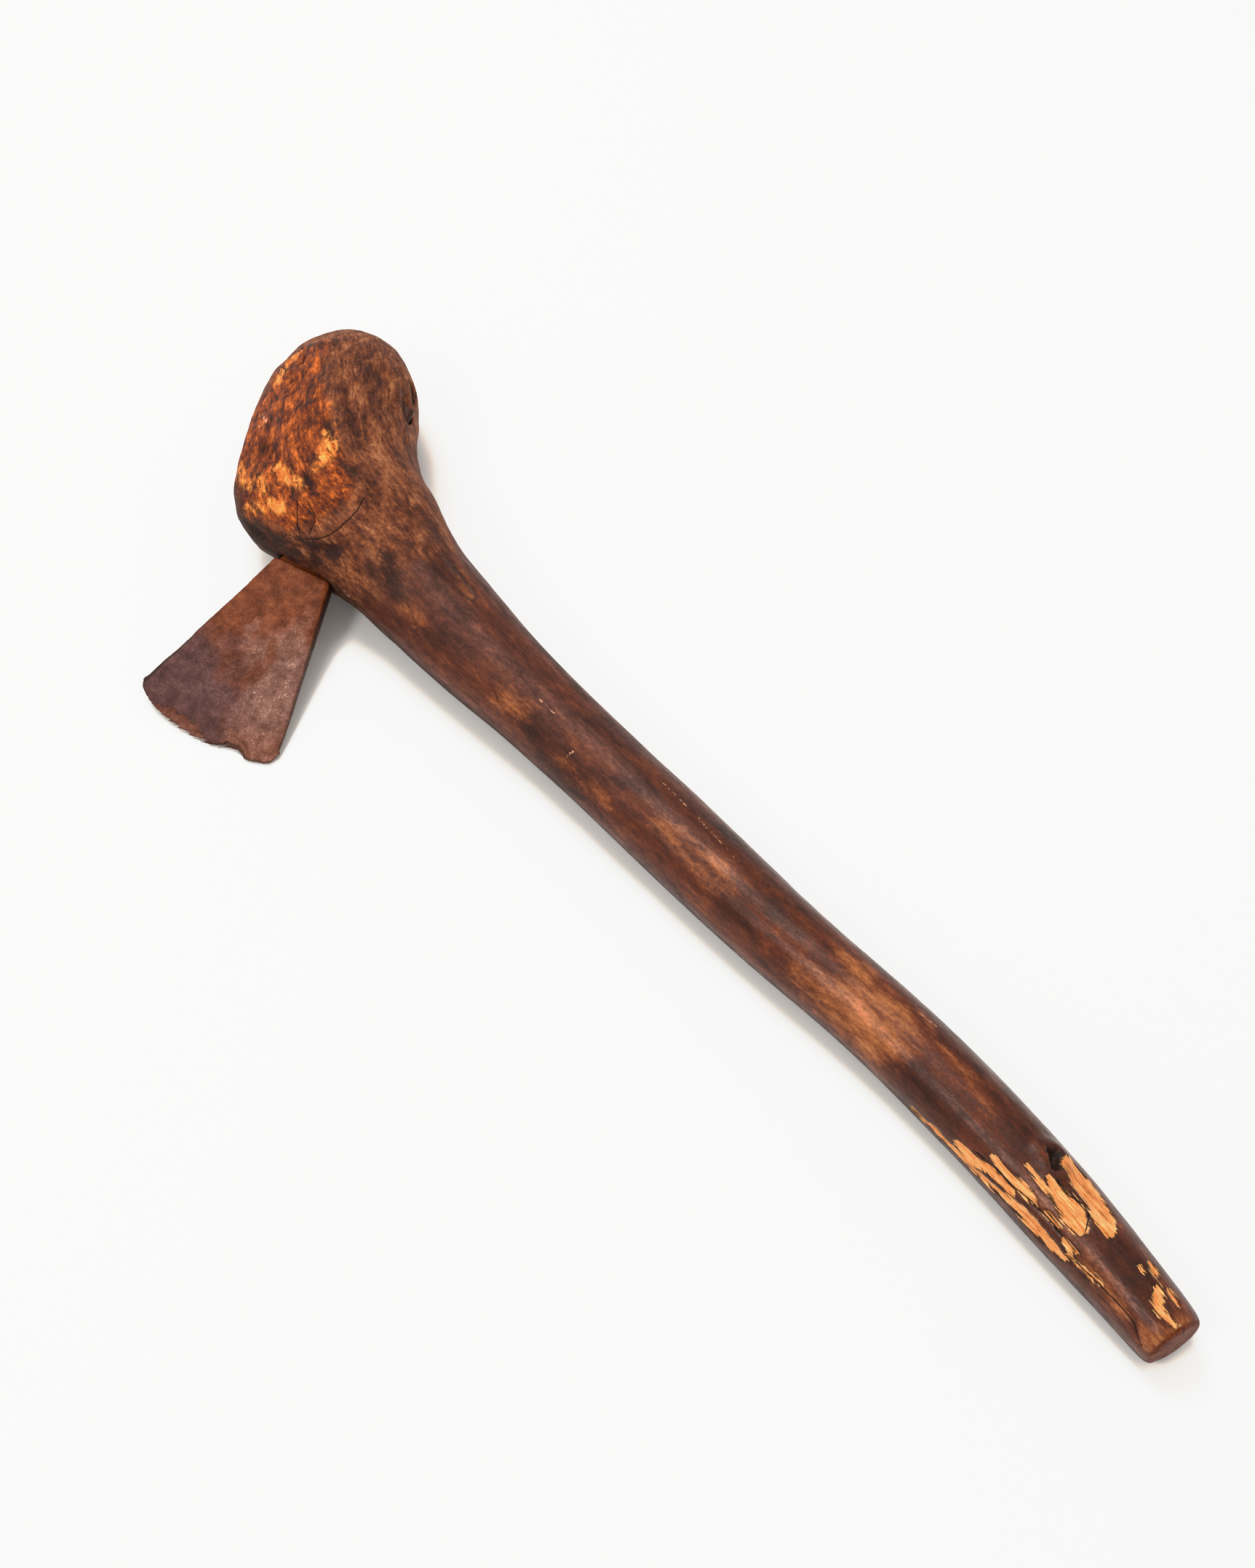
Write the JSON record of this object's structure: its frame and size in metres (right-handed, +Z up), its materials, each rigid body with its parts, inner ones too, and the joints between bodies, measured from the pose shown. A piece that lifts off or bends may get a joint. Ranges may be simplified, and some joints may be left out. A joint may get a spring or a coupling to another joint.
{
  "type": "splitting axe",
  "caption": "Old splitting axe with a dark one-piece root-burl haft and a fan-shaped rusty iron blade, lying on its side.",
  "frame": {"origin": "centre of the bounding box on the ground that the axe lies on", "axes": "+X from the head to the butt of the haft, +Y away from the cutting edge, +Z up"},
  "size_m": [0.6984, 0.2348, 0.0733],
  "materials": {
    "wood": "worn and hand-polished, rough and chopped on the head",
    "iron": "hand-forged, rusted and pitted"
  },
  "bodies": {
    "root": {"haft": "wood", "blade": "iron"}
  },
  "joints": []
}
